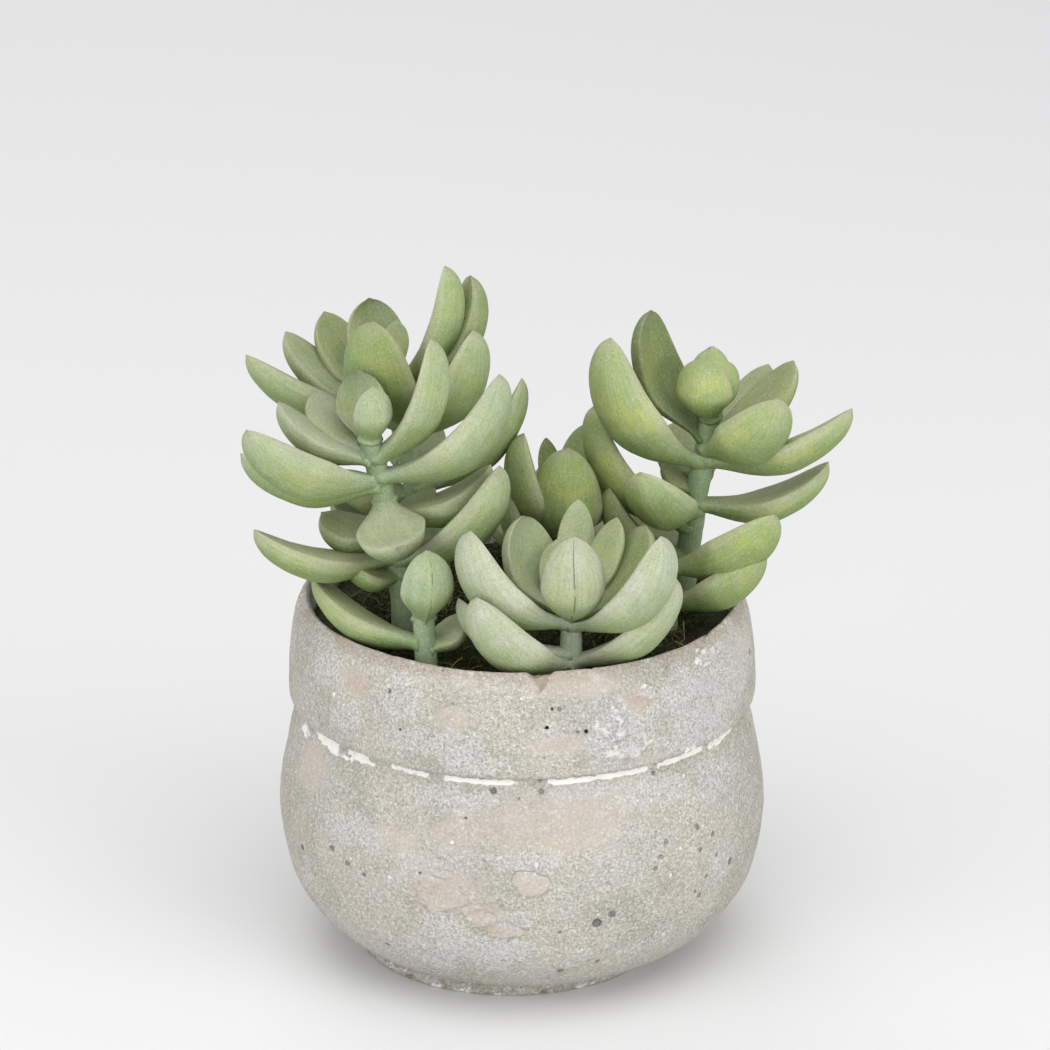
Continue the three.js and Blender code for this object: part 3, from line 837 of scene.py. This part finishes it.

# Each leaf: share of the shoot's height, azimuth, rise, curl, length, width, roll.
# A stem's tones make some of its leaves paler than its paleness says, and the negative ones paint shade on its
# inner and low leaves; a negative paleness paints shade on the whole stem. Its folds sink the top of a leaf along
# its middle, and its keels raise a ridge along the back.
stems = {
    "stem_front_left": {
        "paleness": 0.35, "coolness": 0.3, "keels": {6: 0.3, 0: 0.15},
        "tones": {4: 0.05, 5: 0.1, 9: -0.4, 10: -0.3, 13: -0.4, 14: -0.4},
        "shoot": [(-28.5, -16, 84), (-30.5, -18, 107), (-34, -22, 128), (-37, -26, 144)],
        "folds": {4: 1.4, 6: 0.0},
        "leaves": [
            (0.8, 200, 3, 48, 39, 19, 35), (0.78, 178, -10, 45, 36, 16, 20), (0.9, 165, 10, 35, 28, 15, 10),
            (0.93, 132, 6, 35, 25, 15, 0), (0.99, 105, 34, 30, 19, 13.5, 0), (1, 290, 65, 25, 15, 10.5, 0),
            (0.9, 345, 36, 60, 37, 15.5, -10), (0.82, 352, 11, 64, 43, 20, -20), (0.71, 282, -40, 46, 20, 18, 12),
            (0.62, 20, 9, 35, 14, 11, 0), (0.64, 12, 0, 45, 29, 18, -15), (0.42, 345, 21, 50, 39, 19, -15),
            (0.44, 195, -5, 42, 38, 17, 10), (0.55, 155, -14, 40, 20, 17, 0), (0.35, 203, 8, 30, 15, 13, 0)],
    },
    "stem_back_left": {
        "paleness": 0.15, "coolness": 0.2,
        "tones": {2: -0.1, 3: 0.05, 4: -0.25, 7: -0.3, 10: -0.5, 11: -0.5, 12: -0.5, 13: -0.5},
        "shoot": [(-20, 8, 84), (-24, 7, 108), (-29, 5, 130), (-32, 4, 152)],
        "folds": {3: 1.2, 2: 0.6},
        "leaves": [
            (0.79, 185, 12, 28, 43, 17, 25), (0.82, 160, 13, 35, 36, 16, 0), (0.86, 138, 16, 40, 32, 17, 0),
            (0.95, 125, 41, 35, 22, 17, 0), (0.8, 242, 46, 40, 33, 20, 0), (1, 80, 50, 30, 12, 7, 0),
            (0.92, 350, 44, 50, 36, 15.5, -10), (0.9, 14, 32, 50, 36, 20, 0), (0.74, 335, 32, 50, 37, 18, -10),
            (0.52, 358, 23, 50, 41, 15, -10), (0.62, 85, -15, 40, 32, 16, 0), (0.5, 160, -12, 40, 23, 16, 0),
            (0.3, 165, 0, 40, 28, 14, 0), (0.25, 60, 5, 45, 30, 14, 0)],
    },
    "stem_low_left": {
        "paleness": 0.25, "coolness": 0.4, "keels": {1: 0.65},
        "tones": {0: -0.15},
        "shoot": [(-23, -38, 84), (-23.5, -39, 94), (-24, -39, 103)],
        "creased": {1: 1.0},
        "leaves": [(0.62, 143, -3, 38, 37, 16, 25), (0.95, 283, 52, 50, 21, 14, 0), (0.55, 30, 16, 35, 13, 11, 0)],
    },
    "stem_front": {
        "paleness": 0.85, "coolness": 0.18, "keels": {3: 0.3},
        "tones": {6: -0.5, 7: -0.6, 8: -0.55, 9: -0.55, 10: -1.05},
        "shoot": [(12, -38, 84), (12, -38, 95), (12, -38, 104)],
        "creased": {0: 1.0},
        "stalkCrease": 1.0,
        "folds": {4: 1.0, 6: 1.0, 1: 0.6},
        "leaves": [
            (0.92, 272, 40, 50, 29, 16.5, 0), (0.86, 196, 10, 72, 39, 18.5, 25), (0.28, 212, 16, 50, 37, 17.5, 25),
            (0.42, 186, 5, 50, 33, 15, 25), (0.84, 330, 14, 68, 39, 18.5, -12), (0.32, 345, 18, 50, 37, 15, -20),
            (0.92, 142, 34, 45, 28, 19, 0), (1, 112, 46, 25, 18, 12.5, 0), (1, 48, 34, 30, 26, 11, 0),
            (1, 84, 33, 36, 29, 11, 25), (0.9, 28, 20, 50, 30, 17, 0)],
    },
    "stem_middle": {
        # a negative paleness: painted shade over this whole stem, which stands inside the plant
        "paleness": -0.18,
        "shoot": [(13, 4, 84), (13, 4, 98), (13, 3, 112)],
        "leaves": [
            (0.72, 254, 57, 45, 30, 19, 0), (0.8, 193, 44, 45, 33, 18, 0), (0.9, 120, 35, 40, 25, 8, 0),
            (0.9, 78, 32, 40, 29, 15, 0), (0.4, 195, 35, 45, 32, 14, 0)],
    },
    "stem_right": {
        "paleness": 0.15, "keels": {9: 0.2},
        "tones": {1: -0.6, 2: -0.12, 4: -0.15, 10: -0.15, 11: -0.4, 12: -0.4, 13: -0.4, 14: -0.4},
        "shoot": [(40, 6, 84), (42, 4, 105), (44.5, 2, 124), (47, 0, 142)],
        "folds": {1: 0.9},
        "leaves": [
            (0.76, 200, 20, 70, 46, 19, 28), (0.88, 168, 43, 45, 36, 17.5, -20), (0.97, 240, 58, 50, 17, 16, 0),
            (1, 350, 60, 30, 14, 10, 0), (0.86, 30, 13, 40, 31, 15, 0), (0.86, 50, 8, 40, 29, 14, 0),
            (0.82, 320, 14, 50, 30, 18.5, -35), (0.77, 350, 3, 40, 41, 17.5, -15), (0.56, 6, -9, 50, 36, 17, -10),
            (0.52, 235, 16, 40, 31, 18, 15), (0.44, 177, 25, 55, 42, 17.5, 25), (0.62, 150, 19, 30, 12, 9, 0),
            (0.3, 200, 20, 50, 31, 16, 0), (0.7, 100, -15, 40, 32, 16, 0), (0.3, 118, -6, 40, 28, 14, 0),
            (0.98, 190, 62, 56, 18, 9, 0), (0.98, 305, 68, 44, 18.5, 9, 0), (0.98, 120, 74, 30, 18, 8, 0)],
    },
    "stem_low_right": {
        "paleness": 0.1,
        "tones": {2: -0.4},
        "shoot": [(36, -9, 84), (36, -9, 94), (36.5, -9, 105)],
        "leaves": [
            (0.95, 342, 11, 42, 33, 18, -40), (0.5, 342, 14, 45, 31, 16, -30), (0.55, 215, 20, 40, 14, 10, 0)],
    },
    "stem_back": {
        "paleness": 0.2, "coolness": 0.2,
        "shoot": [(8, 28, 84), (10, 29, 92), (11, 30, 100)],
        "leaves": [
            (0.5, 90, 5, 45, 30, 15, 0), (0.6, 150, 5, 45, 28, 15, 0), (0.6, 30, 5, 45, 28, 15, 0),
            (0.9, 110, 35, 45, 20, 13, 0), (0.9, 210, 20, 40, 18, 13, 0), (0.95, 340, 35, 40, 18, 12, 0)],
    },
}


def leafTree():
    tree, given, result = newGroup("leafyStem", {
        "Geometry": "Geometry", **leafShape, "Stalk Paleness": 0.0, "Stalk Crease": 0.0, "Shoot": "Object",
        "Material": "Material"}, "GeometryNodeTree")
    here = geo(tree, "InputPosition")

    def named(name, sort="FLOAT"):
        wire = geo(tree, "InputNamedAttribute", {"Name": name}, data_type=sort)
        return Wire(next(s for s in wire.socket.node.outputs if s.enabled))

    # a plain tube, one unit long, carries where each point lies on the leaf; its rings crowd at the tip
    tube = geo(tree, "MeshCylinder", {
        "Vertices": given["Sides"], "Side Segments": given["Rings"], "Radius": 1.0, "Depth": 1.0},
        "Mesh", fill_type="TRIANGLE_FAN")
    along = separated(here, "Z")
    tube = store(tube, "leafShare", 1.0 - larger(0.5 - along, 0.0) ** 1.8)
    tube = store(tube, "leafAcross", along.also("X"))
    tube = store(tube, "leafUp", along.also("Y"))
    leaves = geo(tree, "InstanceOnPoints", {"Points": given["Geometry"], "Instance": tube})
    leaves = geo(tree, "RealizeInstances", {"Geometry": leaves})
    share, x, y, azimuth, rise, curl, length, width, roll, folded, keel = map(named, (
        "leafShare", "leafAcross", "leafUp", "azimuth", "rise", "curl", "length", "width", "roll", "fold", "keel"))
    base = named("base", "FLOAT_VECTOR")

    # the middle line leaves the stem at its rise and curls upward on an arc
    angle = rise + curl * share
    bendRadius = length / curl
    out = combined(tree, cosine(azimuth), sine(azimuth))
    sideways = combined(tree, sine(azimuth) * -1.0, cosine(azimuth))
    climb = bendRadius * (cosine(rise) - cosine(angle))
    middle = base + out * (bendRadius * (sine(angle) - sine(rise))) + combined(tree, z=climb)
    tangent = out * cosine(angle) + combined(tree, z=sine(angle))
    turned = calc("CROSS_PRODUCT", tangent, sideways)
    across = sideways * cosine(roll) + turned * sine(roll)
    up = calc("CROSS_PRODUCT", tangent, across)

    # narrow at the neck, widest past the middle, blunt at the tip
    fill = larger(1.0 - share ** given["Tip Taper"], 0.0) ** given["Tip Roundness"]
    swell = ramp(share, 0.0, given["Widest"])
    flare = ramp(share, 0.0, 0.09, 1.35, 1.0)

    def swollen(neck, full):
        return fill * flare * (swell * (full - neck) + neck)

    halfWidth = swollen(given["Neck Width"] * 0.5, width * 0.5)
    thickness = given["Neck Thickness"] * 0.5
    top, belly = (swollen(thickness, width * given[part]) for part in ("Top Bulge", "Belly Bulge"))
    isTop = y > 0.0
    sunk = folded * swollen(0.0, width * given["Fold Depth"]) * (1.0 - abs(x))
    onTop = top * (1.0 - folded) * abs(y) ** given["Edge Crispness"] - sunk
    onBack = belly * (y * (1.0 - keel) + (abs(x) - 1.0) * keel)
    height = isTop * onTop + (1.0 - isTop) * onBack
    nib = ramp(halfWidth, 1.3 * mm, 0.0, 0.0, given["Nib"]) * (share > 0.9)
    nib = nib - ramp(share, 0.6, 1.0, 0.0, given["Tip Pull"])
    place = middle + across * (halfWidth * x) + up * height + tangent * nib
    lumps = (noiseAt(place + base * 3.0, given["Lump Scale"]) - 0.5) * given["Lump"] * (fill * 2.0)
    place = place + (across * x + up * y) * lumps
    leaves = geo(tree, "SetPosition", {"Geometry": leaves, "Position": place})
    leaves = geo(tree, "MergeByDistance", {"Geometry": leaves, "Distance": 0.01 * mm})

    # the stem, from its own line of points
    shoot = geo(tree, "ObjectInfo", {"Object": given["Shoot"]}, "Geometry")
    path = geo(tree, "MeshToCurve", {"Mesh": shoot})
    share = geo(tree, "SplineParameter")
    radius = ramp(share, 0.0, 1.0, stemShape["rootRadius"] * mm, stemShape["topRadius"] * mm)
    radius = radius * ((noiseAt(here, 160.0) - 0.5) * 0.5 + 1.0)
    path = store(path, "centre", here, "FLOAT_VECTOR")
    section = geo(tree, "CurvePrimitiveCircle", {"Resolution": stemShape["sides"], "Radius": 1.0})
    stalk = geo(tree, "CurveToMesh", {
        "Curve": path, "Profile Curve": section, "Scale": radius, "Fill Caps": True})
    offset = separated(calc("NORMALIZE", here - named("centre", "FLOAT_VECTOR")), "X")
    for name, value in {
            "leafAcross": offset, "leafUp": offset.also("Y") * 0.5, "paleness": given["Stalk Paleness"],
            "coolness": 0.5, "crease": given["Stalk Crease"]}.items():
        stalk = store(stalk, name, value)
    smoothed = geo(tree, "SetShadeSmooth", {"Geometry": joined(leaves, stalk)})
    closeTree(smoothed, given, result)
    return tree


leafPaint = {
    "green": srgb(147, 165, 99), "lime": srgb(170, 181, 93), "blue": srgb(128, 157, 110),
    "cool": srgb(136, 164, 132), "ash": srgb(155, 157, 128), "frost": srgb(190, 194, 178),
    "tip": srgb(175, 175, 143), "shade": srgb(88, 100, 66), "ink": srgb(88, 101, 80),
    # in this line: a pale straw for light dots, a dark green for the painted shade on downward faces and for
    # random blotches, and a dark olive for the painted shade on inner and low leaves
    "straw": srgb(216, 221, 184), "under": srgb(112, 134, 68), "paintedShade": srgb(70, 84, 44),
    "roughness": 0.7,
    "gloss": 0.2,
    "bumpDepth": 0.12 * mm,
    "bumpStrength": 0.8,
}


def leafMaterial():
    material, shader, place = newMaterial("powderyLeaf", leafPaint["roughness"], leafPaint["gloss"])
    tree = place.tree
    share, across, up = painted(tree, "leafShare", "leafAcross", "leafUp")
    seed, tone, crease, coolness = painted(tree, "seed", "paleness", "crease", "coolness")
    local = place + combined(tree, seed, seed * 3.0)

    # yellow-green patches in the middle of the leaf, blue-green at its neck, cooler patches on some stems
    middle = ramp(share, 0.15, 0.45) * ramp(share, 0.95, 0.6)
    patches = cloudsAt(local, 0.44, 0.58, 85.0, 3.0)
    paint = Paint(leafPaint, "green")
    paint.layer(middle * (patches * 0.9), "lime")
    neck = larger(ramp(share, 0.28, 0.05), cloudsAt(local, 0.52, 0.7, 60.0) * 0.55)
    paint.layer(neck * 0.75, "blue")
    coolPatch = ramp(noiseAt(local, 120.0, 4.0, 0.6), 0.35, 0.65, 0.3, 1.0)
    paint.layer(coolness * coolPatch, "cool")

    # painted shade: faces turned downwards, by their world normal, get a darker green; greyer above, and a pale
    # line along the edge and the tip
    skyward = separated(make(tree, "ShaderNodeNewGeometry", output="Normal"), "Z")
    below = ramp(skyward, 0.1, -0.75)
    paint.layer(below * 0.8, "under")
    above = ramp(up, -0.05, 0.25) * (ramp(skyward, 0.35, 0.9) * 0.42 + 0.1)
    paint.layer(above, "ash")
    edge = ramp(abs(across), 0.86, 1.0) * ramp(share, 0.1, 0.4)
    paint.layer(edge * 0.6, "tip")
    paint.layer(ramp(share, 0.9, 1.0, 0.0, 0.6), "tip")

    # the powder: palest on the front rosette
    bloom = cloudsAt(local, 0.38, 0.68, 260.0, 5.0, 0.7)
    pale = larger(tone, 0.0)
    powder = pale * 0.66 + bloom * (pale * 0.14 + 0.18)
    # the powder thins on downward faces, which deepens their painted shade
    paint.layer(powder * (1.0 - below * 0.7), "frost")
    # painted shade: a negative paleness darkens the leaf towards dark olive
    paint.layer(calc("MULTIPLY", tone, -1.0, clamp=True), "paintedShade")

    # fine veins along the leaf, dark and light dots, darker blotches
    lengthwise = combined(tree, across * 16.0, share * 2.5, seed * 40.0 + up)
    veins = cloudsAt(lengthwise, 0.35, 0.65, 1.0, 3.0, 0.6)
    paint.layer(veins * 0.17, "shade")
    dots = useGroup(speckle, Place=local, Scale=1900.0, Threshold=0.5, Softness=0.18)
    paint.layer(dots * 0.28, "ink")
    paint.layer(cloudsAt(local, 0.55, 0.75, 420.0, 5.0, 0.75) * 0.22, "under")
    dots = useGroup(speckle, Place=local + (0.3, 0.7, 0.2), Scale=2000.0, Threshold=0.54, Softness=0.16)
    paint.layer(dots * 0.28, "straw")

    # the mould line down the back of some leaves
    wander = noiseAt(local, 110.0, 3.0) * 0.28 + (across - 0.14)
    line = ramp(abs(wander), 0.03, 0.01) * ramp(up, 0.0, -0.2)
    line = line * (crease * cloudsAt(local, 0.35, 0.55, 260.0))
    paint.layer(line * 0.6, "shade")

    relief = noiseAt(local, 900.0, 3.0, 0.6) * 0.8 + bloom - veins * 0.5 - line * 3.0
    coat(shader, paint.colour, relief, leafPaint["bumpDepth"], leafPaint["bumpStrength"])
    return material


def leafPoints(name, stem, line):  # one vertex for each leaf, at the leaf's foot, with the leaf's values
    leaves, last = stem["leaves"], len(line) - 1
    bases = []
    for share, *rest in leaves:
        position = share * last
        below = min(int(position), last - 1)
        bases.append(line[below].lerp(line[below + 1], position - below))
    mesh = bpy.data.meshes.new(name)
    mesh.from_pydata(bases, [], [])

    def listed(label, usual):  # what the stem says of some of its leaves
        return [stem.get(label, {}).get(i, usual) for i in range(len(leaves))]

    seeds = [(sum(map(ord, name)) * 0.137 + 0.61 * i) % 1.0 for i in range(len(leaves))]
    order = "share", "azimuth", "rise", "curl", "length", "width", "roll"
    columns = {label: [leaf[i] * mm if i in {4, 5} else math.radians(leaf[i]) for leaf in leaves]
               for i, label in enumerate(order) if i}
    columns |= {
        "seed": seeds,
        "coolness": [stem.get("coolness", 0.0) * (0.4 + 1.2 * s) for s in seeds],
        "paleness": [stem["paleness"] + tone + 0.2 * (s - 0.5) for tone, s in zip(listed("tones", 0.0), seeds)],
        "crease": listed("creased", 0.0),
        "fold": listed("folds", 0.25),
        "keel": listed("keels", 0.0),
    }
    for label, values in columns.items():
        mesh.attributes.new(label, "FLOAT", "POINT").data.foreach_set("value", values)
    flat = [c for base in bases for c in base]
    mesh.attributes.new("base", "FLOAT_VECTOR", "POINT").data.foreach_set("vector", flat)
    return mesh


def makeStems():
    tree, material = leafTree(), leafMaterial()
    for name, stem in stems.items():
        line = evenRun(smoothRun([Vector(p) * mm for p in stem["shoot"]], 8), count=stemShape["steps"])
        root = line[0] - Vector((0, 0, stemShape["rootDepth"] * mm))
        path = [root, line[0].lerp(root, 0.5)] + line
        mesh = bpy.data.meshes.new("shoot")
        mesh.from_pydata(path, [(i, i + 1) for i in range(len(path) - 1)], [])
        shoot = newObject("shoot", mesh)
        inputs = dict(leafShape, Shoot=shoot, Material=material)
        inputs["Stalk Paleness"] = stem["paleness"]
        inputs["Stalk Crease"] = stem.get("stalkCrease", 0.0)
        mesh = throughTree(name + ".leaves", leafPoints(name, stem, line), tree, inputs)
        bpy.data.objects.remove(shoot)
        newPiece(name + ".leaves", mesh, material, name)
        print(name, "grown")


makeStems()
